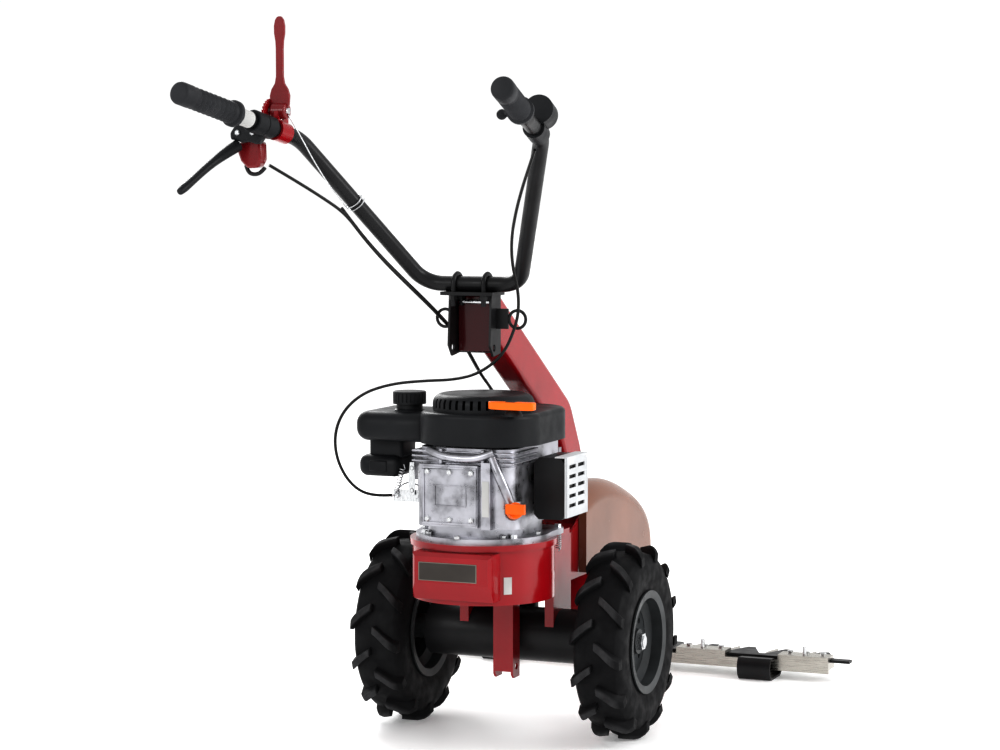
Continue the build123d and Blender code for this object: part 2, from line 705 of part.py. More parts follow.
def tube_path(side):
    return [(side * grip_end[0], *grip_end[1:]), (side * shoulder[0], *shoulder[1:]),
            (side * clamp_half_width, clamp_y, clamp_z)]


with BuildPart() as handlebar_tube:
    with BuildLine() as centre:
        FilletPolyline(*tube_path(-1), *reversed(tube_path(1)),
                       radius=[shoulder_bend, clamp_bend, clamp_bend, shoulder_bend])
    with BuildSketch(Plane(origin=centre.line @ 0, z_dir=centre.line % 0)) as section:
        Circle(tube_radius)
        Circle(tube_radius - tube_wall, mode=Mode.SUBTRACT)
    sweep(section.sketch, path=centre.line)
keep("handlebar_tube", handlebar_tube)

with BuildPart() as grips:
    for side in (-1, 1):
        rod(along(side, grip_start), along(side, arm_length + 5), grip_radius)
        rod(along(side, grip_start - 4), along(side, grip_start + 6), grip_radius + 3)
        rod(along(side, grip_start - 5), along(side, arm_length), tube_radius, mode=Mode.SUBTRACT)
keep("grips", grips)

bracket_half = 38
bracket_z = (652, 752)
bracket_y = (-196, -158)
bracket_wall = 3.5
clamp_rod = 4
clamp_bolt_x = 26.5
clamp_loop = tube_radius + clamp_rod
guide_ring, guide_wire = 14.5, 2.5
ear_end = 58
with BuildPart() as handlebar_bracket:
    for side in (-1, 1):
        inner, outer = side * (bracket_half - bracket_wall), side * bracket_half
        plate_x(sorted([inner, outer]), [(bracket_y[0], bracket_z[1]), (bracket_y[0] - 6, bracket_z[0] + 18),
                                         (bracket_y[0] + 8, bracket_z[0]), (bracket_y[1], bracket_z[0] + 4),
                                         (bracket_y[1], bracket_z[1])])
        cross_rod(sorted([inner, outer]), bracket_y[0] + 10, bracket_z[0] + 14, 6, mode=Mode.SUBTRACT)
    web_y, web_z = (bracket_y[1] - bracket_wall, bracket_y[1]), (bracket_z[0] + 4, bracket_z[1])
    block((-bracket_half, bracket_half), web_y, web_z)
    seat_x, seat_y = (-bracket_half - 8, bracket_half + 8), (clamp_y - 26, clamp_y + 26)
    block(seat_x, seat_y, (bracket_z[1], clamp_z - tube_radius))
    for x in (-clamp_bolt_x, clamp_bolt_x):
        for side in (-1, 1):
            post(x, clamp_y + side * clamp_loop, (bracket_z[1], clamp_z), clamp_rod, mode=Mode.SUBTRACT)
    # a flat ear on the right and a ring of wire at each side guide the cables
    block((bracket_half, ear_end), (-176, -172), (697, 730))
    for x in (-bracket_half - guide_ring - guide_wire + 1, ear_end + guide_ring + guide_wire - 1):
        with Locations(Location((x, -174, 713), (90, 0, 0))):
            Torus(guide_ring, guide_wire)
keep("handlebar_bracket", handlebar_bracket)

with BuildPart() as clamp_bolts:
    for x in (-clamp_bolt_x, clamp_bolt_x):
        leg = (x, clamp_y + clamp_loop, clamp_z)
        with BuildSketch(Plane(origin=leg, x_dir=(1, 0, 0), z_dir=(0, 0, 1))) as wire:
            Circle(clamp_rod)
        revolve(wire.sketch, axis=Axis((x, clamp_y, clamp_z), (1, 0, 0)), revolution_arc=180)
        for side in (-1, 1):
            y = clamp_y + side * clamp_loop
            post(x, y, (bracket_z[1] - 18, clamp_z), clamp_rod)
            hexagon((x, y, bracket_z[1] - 8), (0, 0, 1), 7, 8)
keep("clamp_bolts", clamp_bolts)

# ---- controls on the left arm ----
quadrant_at, perch_at = 50, 105
pivot_gap = 1

lever_boss = 13
lever_pivot = along(-1, quadrant_at, above=32)
with BuildPart() as lever_quadrant:
    rod(along(-1, quadrant_at - 14), along(-1, quadrant_at + 14), tube_radius + 4)
    x, y, z = along(-1, quadrant_at)
    block((x - 4, x + 4), (y - 14, y + 20), (z + 10, z + 32))
    for tooth in range(4):
        block((x - 5, x + 5), (y - 12 + 8 * tooth, y - 8 + 8 * tooth), (z + 29, z + 33), mode=Mode.SUBTRACT)
    rod(along(-1, quadrant_at - 30), along(-1, quadrant_at + 30), tube_radius, mode=Mode.SUBTRACT)
    socket_x = (lever_pivot[0] - lever_boss - pivot_gap, lever_pivot[0] + lever_boss + pivot_gap)
    cross_rod(socket_x, *lever_pivot[1:], lever_boss + pivot_gap, mode=Mode.SUBTRACT)
keep("lever_quadrant", lever_quadrant)

with BuildPart() as cutter_lever:
    x, y, z = lever_pivot
    cross_rod((x - lever_boss, x + lever_boss), y, z, lever_boss)
    with BuildSketch(Plane.XZ.offset(-y - 4)) as blade:
        with BuildLine():
            Polyline((x - 13, z + 2), (x - 13, z + 24), (x - 6, z + 38), (x - 6, z + 110), (x - 8, z + 134),
                     (x - 5, z + 147), (x + 5, z + 147), (x + 8, z + 134), (x + 6, z + 110), (x + 6, z + 38),
                     (x + 13, z + 24), (x + 13, z + 2), close=True)
        make_face()
    extrude(blade.sketch, amount=8)
keep("cutter_lever", cutter_lever)

clutch_pivot = Vector(-272, -492, 990)
clutch_axis = Vector(-0.8645, 0.2571, 0.4203).normalized()
clutch_boss = 11
clutch_pin = (clutch_pivot - clutch_axis * 9, clutch_pivot + clutch_axis * 9)
clutch_knee, clutch_tip = (-288, -520, 970), (-304, -604, 922)
clutch_radius = 8
latch_pivot = (-246, -462, 988)
latch_boss = 12
latch_x = (-258, -236)
with BuildPart() as clutch_perch:
    rod(along(-1, quadrant_at + 24), along(-1, perch_at + 18), tube_radius + 5)
    block((-274, -222), (-498, -476), (990, 1020))
    rod(along(-1, quadrant_at), along(-1, perch_at + 60), tube_radius, mode=Mode.SUBTRACT)
    rod(clutch_pin[0] - clutch_axis * pivot_gap, clutch_pin[1] + clutch_axis * pivot_gap,
        clutch_boss + pivot_gap, mode=Mode.SUBTRACT)
    cross_rod((latch_x[0] - pivot_gap, latch_x[1] + pivot_gap), *latch_pivot[1:], latch_boss + pivot_gap,
              mode=Mode.SUBTRACT)
keep("clutch_perch", clutch_perch)

with BuildPart() as clutch_lever:
    rod(*clutch_pin, clutch_boss)
    rod(clutch_pivot, clutch_knee, clutch_radius)
    rod(clutch_knee, clutch_tip, clutch_radius)
    with Locations(clutch_knee, clutch_tip):
        Sphere(clutch_radius)
keep("clutch_lever", clutch_lever)

with BuildPart() as lever_latch:
    cross_rod(latch_x, *latch_pivot[1:], latch_boss)
    block((-262, -234), (-478, -450), (956, 984))
keep("lever_latch", lever_latch)

# ---- throttle control on the right arm ----
throttle_pivot = Vector(200, -466, 1038)
throttle_axis = Vector(0, 0.2, 1).normalized()
throttle_boss = 9
throttle_pin = (throttle_pivot - throttle_axis * 8, throttle_pivot + throttle_axis * 8)
with BuildPart() as throttle_housing:
    rod(along(1, 20), along(1, 66), tube_radius + 4)
    rod(along(1, 24, above=27, across=8), along(1, 66, above=27, across=8), 22)
    rod(along(1, 0), along(1, 90), tube_radius, mode=Mode.SUBTRACT)
    rod(throttle_pin[0] - throttle_axis * pivot_gap, throttle_pin[1] + throttle_axis * pivot_gap,
        throttle_boss + pivot_gap, mode=Mode.SUBTRACT)
keep("throttle_housing", throttle_housing)

with BuildPart() as throttle_lever:
    rod(*throttle_pin, throttle_boss)
    rod(throttle_pivot, (178, -486, 1036), 4)
    with Locations((176, -488, 1036)):
        Sphere(8)
keep("throttle_lever", throttle_lever)

# ---- control cables ----
throttle_route = [
    (208, -436, 984), (186, -404, 958), (163, -372, 930), (136, -334, 890), (113, -296, 848),
    (97, -254, 806), (91, -216, 768), (84, -192, 736), (75, -182, 704), (58, -194, 656),
    (12, -186, 624), (-44, -160, 610), (-102, -152, 606), (-158, -158, 600), (-206, -172, 584),
    (-240, -180, 552), (-256, -180, 510), (-252, -174, 464), (-232, -160, 424), (-204, -140, 406),
    (-174, -124, 408),
]
traction_route = [
    (-236, -444, 962), (-206, -414, 938), (-178, -378, 912), (-155, -340, 886), (-142, -300, 846),
    (-120, -262, 804), (-94, -224, 764), (-70, -190, 728), (-50, -158, 694), (-36, -128, 662),
    (-34, -92, 630), (-36, -54, 604), (-40, -10, 584), (-46, 34, 556), (-48, 68, 518), (-54, 96, 472),
    (-60, 108, 424), (-62, 110, 380), (-62, 106, 342),
]


def cable(route):
    """A cable whose bends are as wide as their two runs allow."""
    spans = [(Vector(*b) - Vector(*a)) for a, b in zip(route, route[1:])]
    radii = []
    for before, after in zip(spans, spans[1:]):
        turn = radians(before.get_angle(after))
        radii.append(0.45 * min(before.length, after.length) / tan(turn / 2))
    with BuildPart() as piece:
        with BuildLine() as centre:
            FilletPolyline(*route, radius=radii)
        with BuildSketch(Plane(origin=centre.line @ 0, z_dir=centre.line % 0)) as section:
            Circle(cable_radius)
        sweep(section.sketch, path=centre.line)
    return piece


keep("throttle_cable", cable(throttle_route))
keep("traction_cable", cable(traction_route))
keep("cutter_cable", cable([(x - 10, y + 8, z + 8) for x, y, z in traction_route[3:-3]]))

# ---- cutter drive ----
crank_case_radius = 62
crank_case_wall = 6
crank_case_bottom = 98
disc_thick = 12
crank_disc_z = 104
carrier_z = (92, 98)
rocker_z = (66, 80)
pin_radius = 7
pin_gap = 0.5
slot_gap = 1.4                   # the knife's pin in the rocker's slot, for its path is an arc
with BuildPart() as cutter_carrier:
    post(0, cutter_crank_y, (crank_case_bottom, deck_bottom), crank_case_radius)
    case_ceiling = deck_bottom - crank_case_wall
    case_bore = crank_case_radius - crank_case_wall
    post(0, cutter_crank_y, (crank_case_bottom, case_ceiling), case_bore, mode=Mode.SUBTRACT)
    post(0, cutter_crank_y, (case_ceiling, deck_bottom), cutter_shaft_radius + running_clearance,
         mode=Mode.SUBTRACT)
    block((-72, 72), (cutter_crank_y + crank_case_radius - 14, bar_y + 8), carrier_z)
    for side in (-1, 1):
        ends = sorted([side * 66, side * 72])
        block(ends, (cutter_crank_y - 20, bar_y + 8), (carrier_z[1], carrier_z[1] + 34))
        block(ends, (bar_y - 22, bar_y + 8), (knife_z + 11, carrier_z[1]))
    for side in (-1, 1):
        ends = sorted([side * crank_case_radius - side * 4, side * 72])
        block(ends, (cutter_crank_y - 20, cutter_crank_y + 60), (carrier_z[1], carrier_z[1] + 34))
    post(0, rocker_pivot_y, (rocker_z[0] - 8, carrier_z[0]), 9)
    post(0, rocker_pivot_y, (rocker_z[0] - 8, rocker_z[0] - 1), 18)
keep("cutter_carrier", cutter_carrier)

with BuildPart() as cutter_crank:
    shaft_z = (crank_disc_z + disc_thick, cutter_belt_z + belt_height + 8)
    post(0, cutter_crank_y, shaft_z, cutter_shaft_radius)
    post(0, cutter_crank_y, (crank_disc_z, crank_disc_z + disc_thick), 50)
keep("cutter_crank", cutter_crank)

with BuildPart() as rocker_arm:
    with BuildSketch(Plane.XY.offset(rocker_z[0])) as arm_shape:
        with Locations((0, rocker_pivot_y)):
            Circle(24)
        with Locations((0, bar_y)):
            Circle(18)
        make_hull()
    extrude(arm_shape.sketch, amount=rocker_z[1] - rocker_z[0])
    with BuildSketch(Plane.XY.offset(rocker_z[0])) as tail:
        with Locations((0, rocker_pivot_y)):
            Circle(22)
        with Locations((0, cutter_crank_y)):
            Circle(17)
        make_hull()
    extrude(tail.sketch, amount=rocker_z[1] - rocker_z[0])
    post(0, cutter_crank_y, (rocker_z[1], crank_disc_z - pin_gap), pin_radius)
    post(0, rocker_pivot_y, (rocker_z[0], rocker_z[1]), 9 + running_clearance, mode=Mode.SUBTRACT)
    slot_half = pin_radius + slot_gap
    block((-slot_half, slot_half), (bar_y - 14, bar_y + 20), rocker_z, mode=Mode.SUBTRACT)
keep("rocker_arm", rocker_arm)

# ---- cutter bar ----
ledger_z = (17, 36)
ledger_y = (bar_y - 24, bar_y + 20)
knife_low = ledger_z[1] + moving_gap
knife_high = knife_low + 5
section_width = finger_pitch - 3
fingers = 10
finger_reach = 75.7
with BuildPart() as finger_bar:
    block((-bar_half_length, bar_half_length), ledger_y, (ledger_z[0] + 6, ledger_z[1]))
    block((-bar_half_length, bar_half_length), (ledger_y[0], ledger_y[0] + 6), ledger_z)
    for number in range(fingers):
        x = (number - (fingers - 1) / 2) * finger_pitch
        with BuildSketch(Plane.XY.offset(ledger_z[0] + 8)) as finger:
            with BuildLine():
                root, waist = ledger_y[1] - 4, ledger_y[1] + 44
                Polyline((x - 13, root), (x - 9, waist), (x, ledger_y[1] + finger_reach), (x + 9, waist),
                         (x + 13, root), close=True)
            make_face()
        extrude(finger.sketch, amount=ledger_z[1] - ledger_z[0] - 8)
    for side in (-1, 1):
        block(sorted([side * 66, side * 72]), (bar_y - 22, bar_y - 18), (ledger_z[1], knife_z + 11))
keep("finger_bar", finger_bar)

sections = 11
with BuildPart() as knife:
    block((-cutting_width / 2, cutting_width / 2), (bar_y - 10, bar_y + 10), (knife_low, knife_high))
    for number in range(sections):
        x = (number - (sections - 1) / 2) * section_width
        with BuildSketch(Plane.XY.offset(knife_low)) as tooth:
            with BuildLine():
                Polyline((x - section_width / 2, bar_y + 8), (x - 7, bar_y + 78), (x + 7, bar_y + 78),
                         (x + section_width / 2, bar_y + 8), close=True)
            make_face()
        extrude(tooth.sketch, amount=2.5)
    block((-22, 22), (bar_y - 10, bar_y + 10), (knife_high, knife_high + 14))
    post(0, bar_y, (knife_high + 14, rocker_z[1] + 4), pin_radius)
keep("knife", knife)

presser_x = (148, 349)
presser_half = 49
with BuildPart() as knife_pressers:
    for side in (-1, 1):
        for x in presser_x:
            middle = side * x
            ends = (middle - presser_half, middle + presser_half)
            block(ends, (bar_y - 24, bar_y + 14), (knife_high + moving_gap, knife_high + 6))
            block(ends, (bar_y - 24, bar_y - 11), (ledger_z[1], knife_high + 6))
keep("knife_pressers", knife_pressers)

with BuildPart() as presser_screws:
    for side in (-1, 1):
        for x in presser_x:
            middle = side * x
            post(middle, bar_y - 10, (knife_high + 6, knife_high + 22), 4)
            for step in (-32, 0, 32):
                hexagon((middle + step, bar_y + 5, knife_high + 6), (0, 0, 1), 6, 4)
keep("presser_screws", presser_screws)

skid_x = (230, 294)
with BuildPart() as skids:
    for side in (-1, 1):
        ends = sorted([side * skid_x[0], side * skid_x[1]])
        with BuildSketch(Plane.YZ.offset(ends[0])) as strap:
            with BuildLine():
                rear, foot = bar_y - 56, 0
                Polyline((bar_y - 24, ledger_z[1] - 1), (bar_y - 24, ledger_z[1] + 4),
                         (rear + 8, ledger_z[1] + 6))
                ThreePointArc((rear + 8, ledger_z[1] + 6), (rear, 22), (rear + 14, foot))
                Line((rear + 14, foot), (bar_y + 12, foot))
                ThreePointArc((bar_y + 12, foot), (bar_y + 24, 5), (bar_y + 30, ledger_z[0] - 1))
                Line((bar_y + 30, ledger_z[0] - 1), (bar_y + 26, ledger_z[0] - 0.5))
                ThreePointArc((bar_y + 26, ledger_z[0] - 0.5), (bar_y + 20, 8), (bar_y + 10, 4))
                Line((bar_y + 10, 4), (rear + 16, 4))
                ThreePointArc((rear + 16, 4), (rear + 4, 22), (rear + 10, ledger_z[1] + 1))
                Line((rear + 10, ledger_z[1] + 1), (bar_y - 24, ledger_z[1] - 1))
            make_face()
        extrude(strap.sketch, amount=ends[1] - ends[0])
keep("skids", skids)

os.makedirs("parts", exist_ok=True)
for name, piece in pieces.items():
    export_step(piece.part, f"parts/{name}.step")
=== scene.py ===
"""Brush mower: finishes, detailed pieces, cables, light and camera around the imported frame."""
import json
import math

import bmesh
import bpy
from mathutils import Matrix, Vector


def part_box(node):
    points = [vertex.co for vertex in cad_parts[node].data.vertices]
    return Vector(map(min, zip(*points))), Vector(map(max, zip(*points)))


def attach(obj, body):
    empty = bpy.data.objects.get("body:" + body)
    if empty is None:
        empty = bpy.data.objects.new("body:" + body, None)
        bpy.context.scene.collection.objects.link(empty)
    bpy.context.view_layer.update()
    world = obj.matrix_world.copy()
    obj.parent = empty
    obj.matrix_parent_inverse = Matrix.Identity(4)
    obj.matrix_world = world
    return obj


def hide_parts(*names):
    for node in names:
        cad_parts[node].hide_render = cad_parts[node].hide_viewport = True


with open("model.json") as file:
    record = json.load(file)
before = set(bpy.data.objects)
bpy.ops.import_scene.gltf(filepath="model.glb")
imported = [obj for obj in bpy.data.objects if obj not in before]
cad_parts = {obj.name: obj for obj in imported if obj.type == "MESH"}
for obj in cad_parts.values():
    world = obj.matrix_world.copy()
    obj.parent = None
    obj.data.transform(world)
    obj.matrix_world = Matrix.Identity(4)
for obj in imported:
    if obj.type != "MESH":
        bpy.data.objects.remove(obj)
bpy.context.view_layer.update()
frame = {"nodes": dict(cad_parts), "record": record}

MM = 0.001
X, Y, Z = (1, 0, 0), (0, 1, 0), (0, 0, 1)


def mm(*point):
    """A point given in millimetres."""
    return Vector(point) * MM


# ---- camera, floor and light ----
EYE = Vector((1.6148, -3.9752, 0.9411))
FORWARD = Vector((-0.38091, 0.92136, -0.07748))
LENS = 91.0
SKY = 0.95
GAMMA = 0.72
EXPOSURE = 0.12
FLOOR_HALF = 40
FLOOR_GREY = (0.9, 0.9, 0.9, 1)
FLOOR_GLOW = 0.22
WHITE = (1, 1, 1, 1)
LIT_POINT = Vector((0, 0, 0.5))


def look(eye, forward, lens):
    """The camera, at an eye point, facing along a direction."""
    camera = bpy.data.objects.new("camera", bpy.data.cameras.new("camera"))
    bpy.context.scene.collection.objects.link(camera)
    camera.location = eye
    camera.rotation_mode = "QUATERNION"
    camera.rotation_quaternion = forward.to_track_quat("-Z", "Y")
    camera.data.lens = lens
    camera.data.sensor_width = 36
    camera.data.clip_end = 100
    bpy.context.scene.camera = camera


def soft_box(name, place, size, power):
    """A rectangular lamp that faces the middle of the mower."""
    lamp = bpy.data.objects.new(name, bpy.data.lights.new(name, "AREA"))
    bpy.context.scene.collection.objects.link(lamp)
    lamp.location = place
    lamp.rotation_mode = "QUATERNION"
    lamp.rotation_quaternion = (LIT_POINT - Vector(place)).to_track_quat("-Z", "Y")
    lamp.data.shape = "RECTANGLE"
    lamp.data.size, lamp.data.size_y = size
    lamp.data.energy = power


def sky():
    world = bpy.data.worlds.new("studio")
    world.use_nodes = True
    background = world.node_tree.nodes["Background"]
    background.inputs["Color"].default_value = WHITE
    background.inputs["Strength"].default_value = SKY
    bpy.context.scene.world = world


def exposure():
    settings = bpy.context.scene.view_settings
    settings.view_transform = "Standard"
    settings.gamma = GAMMA
    settings.exposure = EXPOSURE


def pale_floor():
    """A large sheet under the wheels that glows a little, so that shadows on it stay faint."""
    mesh = bpy.data.meshes.new("floor")
    sheet = bmesh.new()
    bmesh.ops.create_grid(sheet, x_segments=1, y_segments=1, size=FLOOR_HALF)
    sheet.to_mesh(mesh)
    sheet.free()
    floor = bpy.data.objects.new("floor", mesh)
    bpy.context.scene.collection.objects.link(floor)
    pale = bpy.data.materials.new("floor_pale")
    pale.use_nodes = True
    shader = pale.node_tree.nodes["Principled BSDF"]
    shader.inputs["Base Color"].default_value = FLOOR_GREY
    shader.inputs["Roughness"].default_value = 0.45
    shader.inputs["Emission Color"].default_value = WHITE
    shader.inputs["Emission Strength"].default_value = FLOOR_GLOW
    mesh.materials.append(pale)


look(EYE, FORWARD, LENS)
sky()
exposure()
pale_floor()
soft_box("back_left", (-2.6, 2.6, 2.6), (1.6, 2.4), 90)
soft_box("right", (3.2, 0.4, 2.0), (1.2, 2.4), 70)
soft_box("front_fill", (-1.2, -4.2, 2.2), (2.0, 1.2), 45)

# ---- cable routes, in millimetres, as the CAD lays them ----
THROTTLE = [(208, -436, 984), (186, -404, 958), (163, -372, 930), (136, -334, 890), (113, -296, 848),
            (97, -254, 806), (91, -216, 768), (84, -192, 736), (75, -182, 704), (58, -194, 656),
            (12, -186, 624), (-44, -160, 610), (-102, -152, 606), (-158, -158, 600), (-206, -172, 584),
            (-240, -180, 552), (-256, -180, 510), (-252, -174, 464), (-232, -160, 424), (-204, -140, 406),
            (-174, -124, 408)]
TRACTION = [(-236, -444, 962), (-206, -414, 938), (-178, -378, 912), (-155, -340, 886), (-142, -300, 846),
            (-120, -262, 804), (-94, -224, 764), (-70, -190, 728), (-50, -158, 694), (-36, -128, 662),
            (-34, -92, 630), (-36, -54, 604), (-40, -10, 584), (-46, 34, 556), (-48, 68, 518),
            (-54, 96, 472), (-60, 108, 424), (-62, 110, 380), (-62, 106, 342)]
# the cutter cable runs beside the traction cable's middle: a little to its left, ahead and above
CUTTER = [(x - 10, y + 8, z + 8) for x, y, z in TRACTION[3:-3]]


# ---- finishes ----
class Finish:
    """A procedural material: a shader, with the noise and ramps that feed it."""

    def __init__(self, name, metallic=0.0, coat=0.0, specular=0.5):
        self.material = bpy.data.materials.new(name)
        self.material.use_nodes = True
        self.tree = self.material.node_tree
        self.shader = self.tree.nodes["Principled BSDF"]
        self.shader.inputs["Metallic"].default_value = metallic
        self.shader.inputs["Coat Weight"].default_value = coat
        self.shader.inputs["Coat Roughness"].default_value = 0.05
        self.shader.inputs["Specular IOR Level"].default_value = specular
        self.place = self.tree.nodes.new("ShaderNodeTexCoord").outputs["Object"]

    def link(self, source, node, socket):
        self.tree.links.new(source, node.inputs[socket])

    def stretched(self, scale):
        """The object's coordinates, stretched along its axes."""
        mapping = self.tree.nodes.new("ShaderNodeMapping")
        mapping.inputs["Scale"].default_value = scale
        self.link(self.place, mapping, "Vector")
        return mapping.outputs["Vector"]

    def noise(self, scale, detail=3.0, vector=None):
        """Cloudy noise on the object's coordinates, or on others that are given."""
        node = self.tree.nodes.new("ShaderNodeTexNoise")
        node.inputs["Scale"].default_value = scale
        node.inputs["Detail"].default_value = detail
        self.link(vector or self.place, node, "Vector")
        return node.outputs["Fac"]

    def cells(self, scale):
        """Distance to the nearest of many scattered points: a pebbled pattern."""
        node = self.tree.nodes.new("ShaderNodeTexVoronoi")
        node.inputs["Scale"].default_value = scale
        self.link(self.place, node, "Vector")
        return node.outputs["Distance"]

    def colours(self, driver, stops):
        """Blends colours along a driver; each stop is (where, colour)."""
        ramp = self.tree.nodes.new("ShaderNodeValToRGB")
        while len(ramp.color_ramp.elements) < len(stops):
            ramp.color_ramp.elements.new(0.5)
        for element, (where, colour) in zip(ramp.color_ramp.elements, stops):
            element.position = where
            element.color = (*colour, 1)
        self.link(driver, ramp, "Fac")
        self.link(ramp.outputs["Color"], self.shader, "Base Color")

    def gloss(self, driver, low, high):
        """Roughness that runs from low to high along a driver."""
        spread = self.tree.nodes.new("ShaderNodeMapRange")
        spread.inputs["From Min"].default_value = 0.3
        spread.inputs["From Max"].default_value = 0.7
        spread.inputs["To Min"].default_value = low
        spread.inputs["To Max"].default_value = high
        self.link(driver, spread, "Value")
        self.link(spread.outputs["Result"], self.shader, "Roughness")

    def relief(self, driver, strength, depth):
        """Bumps of that depth in metres along a driver."""
        bump = self.tree.nodes.new("ShaderNodeBump")
        bump.inputs["Strength"].default_value = strength
        bump.inputs["Distance"].default_value = depth
        self.link(driver, bump, "Height")
        self.link(bump.outputs["Normal"], self.shader, "Normal")


def tint(colour, factor):
    """A colour made lighter or darker by a factor."""
    return tuple(min(1.0, part * factor) for part in colour)


def enamel(name, colour, low=0.12, high=0.26):
    """Gloss enamel over pressed steel, with faint orange peel and dulled patches."""
    finish = Finish(name, coat=0.3, specular=0.35)
    finish.colours(finish.noise(9), [(0.3, tint(colour, 0.85)), (0.7, tint(colour, 1.12))])
    finish.gloss(finish.noise(22, 5), low, high)
    finish.relief(finish.noise(260, 2), 0.12, 0.0004)
    return finish.material


def powder_coat(name, colour):
    """Black powder coat with its fine pebbled skin."""
    finish = Finish(name, specular=0.3)
    finish.colours(finish.noise(14), [(0.3, tint(colour, 0.7)), (0.7, tint(colour, 1.5))])
    finish.gloss(finish.noise(40, 4), 0.3, 0.46)
    finish.relief(finish.cells(900), 0.12, 0.0003)
    return finish.material


def moulded(name, colour, low=0.38, high=0.56):
    """Moulded plastic with a sparked texture."""
    finish = Finish(name, specular=0.28)
    finish.colours(finish.noise(11), [(0.3, tint(colour, 0.8)), (0.7, tint(colour, 1.25))])
    finish.gloss(finish.noise(35, 4), low, high)
    finish.relief(finish.noise(1400, 2), 0.18, 0.0003)
    return finish.material


def casting(name, colour):
    """Die-cast aluminium: cloudy flow marks and a fine grain."""
    finish = Finish(name, metallic=0.9)
    clouds = [(0.3, tint(colour, 0.42)), (0.5, colour), (0.68, tint(colour, 1.2))]
    finish.colours(finish.noise(30, 9), clouds)
    finish.gloss(finish.noise(60, 6), 0.22, 0.48)
    finish.relief(finish.noise(420, 5), 0.3, 0.0006)
    return finish.material


def plated(name, colour, scale=(6, 60, 60)):
    """Bare or zinc-plated steel with drawn streaks."""
    finish = Finish(name, metallic=1.0)
    streaks = finish.noise(20, 6, finish.stretched(scale))
    finish.colours(streaks, [(0.3, tint(colour, 0.7)), (0.55, colour), (0.8, tint(colour, 1.2))])
    finish.gloss(streaks, 0.18, 0.4)
    finish.relief(streaks, 0.1, 0.0002)
    return finish.material


def rubber(name, colour, dust, low=0.6, high=0.85):
    """Moulded rubber with a bloom of dust in its hollows."""
    finish = Finish(name, specular=0.2)
    finish.colours(finish.noise(17, 8), [(0.35, colour), (0.62, tint(colour, 1.4)), (0.85, dust)])
    finish.gloss(finish.noise(50, 5), low, high)
    finish.relief(finish.noise(700, 4), 0.25, 0.0005)
    return finish.material


AXLE_HEIGHT = 0.165
WORN_FROM, WORN_TO = 0.156, 0.165


def tread(name, colour, scuffed):
    """Tyre rubber: dark in the carcass, scuffed pale towards the faces of its lugs, far from the axle."""
    finish = Finish(name, specular=0.2)
    centred = finish.tree.nodes.new("ShaderNodeMapping")
    centred.inputs["Scale"].default_value = (0, 1, 1)
    centred.inputs["Location"].default_value = (0, 0, -AXLE_HEIGHT)
    finish.link(finish.place, centred, "Vector")
    reach = finish.tree.nodes.new("ShaderNodeVectorMath")
    reach.operation = "LENGTH"
    finish.link(centred.outputs["Vector"], reach, "Vector")
    worn = finish.tree.nodes.new("ShaderNodeMapRange")
    worn.inputs["From Min"].default_value = WORN_FROM
    worn.inputs["From Max"].default_value = WORN_TO
    finish.link(reach.outputs["Value"], worn, "Value")
    patchy = finish.tree.nodes.new("ShaderNodeMath")
    patchy.operation = "MULTIPLY"
    finish.link(worn.outputs["Result"], patchy, 0)
    finish.link(finish.noise(60, 6), patchy, 1)
    finish.colours(patchy.outputs["Value"], [(0.05, colour), (0.6, scuffed)])
    finish.gloss(finish.noise(50, 5), 0.5, 0.8)
    finish.relief(finish.noise(700, 4), 0.25, 0.0005)
    return finish.material


RED = enamel("red_enamel", (0.3, 0.003, 0.009))
DARK_RED = enamel("lever_red", (0.2, 0.006, 0.01), 0.2, 0.34)
# the column end's red, darkened almost to black: painted shade for the bracket channel it sits in
SHADE_PAINTED_RED = enamel("column_end_red_painted_shade", (0.05, 0.002, 0.004), 0.12, 0.22)
RUSSET = enamel("hood_russet", (0.2, 0.085, 0.05), 0.14, 0.28)
BLACK = powder_coat("black_powder_coat", (0.012, 0.012, 0.013))
RIM_GREY = powder_coat("rim_grey", (0.04, 0.043, 0.045))
PLASTIC = moulded("black_plastic_skin", (0.012, 0.013, 0.015))
SHEATH = moulded("cable_sheath", (0.01, 0.01, 0.01), 0.3, 0.42)
ORANGE = moulded("orange_plastic_skin", (0.9, 0.16, 0.008), 0.3, 0.42)
GUARD = moulded("guard_grey", (0.5, 0.51, 0.52), 0.35, 0.5)
CAST = casting("cast_aluminium_skin", (0.43, 0.43, 0.46))
ZINC = plated("zinc_plate", (0.66, 0.67, 0.68), (40, 40, 8))
STEEL = plated("bar_steel", (0.5, 0.48, 0.44), (1.5, 40, 40))
TREAD = tread("tread_rubber", (0.008, 0.008, 0.009), (0.05, 0.05, 0.052))
GRIP = rubber("grip_rubber_skin", (0.03, 0.031, 0.034), (0.07, 0.07, 0.072), 0.45, 0.62)
BELT = rubber("belt_cord", (0.02, 0.02, 0.02), (0.05, 0.05, 0.05))
BRONZE = plated("bearing_bronze", (0.6, 0.4, 0.16))
LABEL = moulded("blank_label", (0.5, 0.5, 0.49), 0.3, 0.4)
BADGE = moulded("badge_grey", (0.06, 0.052, 0.046), 0.3, 0.4)
BADGE_EDGE = moulded("badge_edge", (0.2, 0.2, 0.17), 0.3, 0.4)

SLOT_FINISH = {"red_paint": RED, "black_paint": BLACK, "steel": ZINC, "cast_aluminium": CAST,
               "black_plastic": PLASTIC, "orange_plastic": ORANGE, "grip_rubber": GRIP, "tyre_rubber": TREAD,
               "rim_paint": RIM_GREY, "belt_rubber": BELT, "hood_plastic": RUSSET, "bronze": BRONZE}
NODE_FINISH = {"muffler_guard": GUARD, "finger_bar": STEEL, "knife_pressers": STEEL, "worm_wheel": BRONZE,
               "cutter_lever": DARK_RED, "lever_latch": DARK_RED, "cutter_carrier": RED}

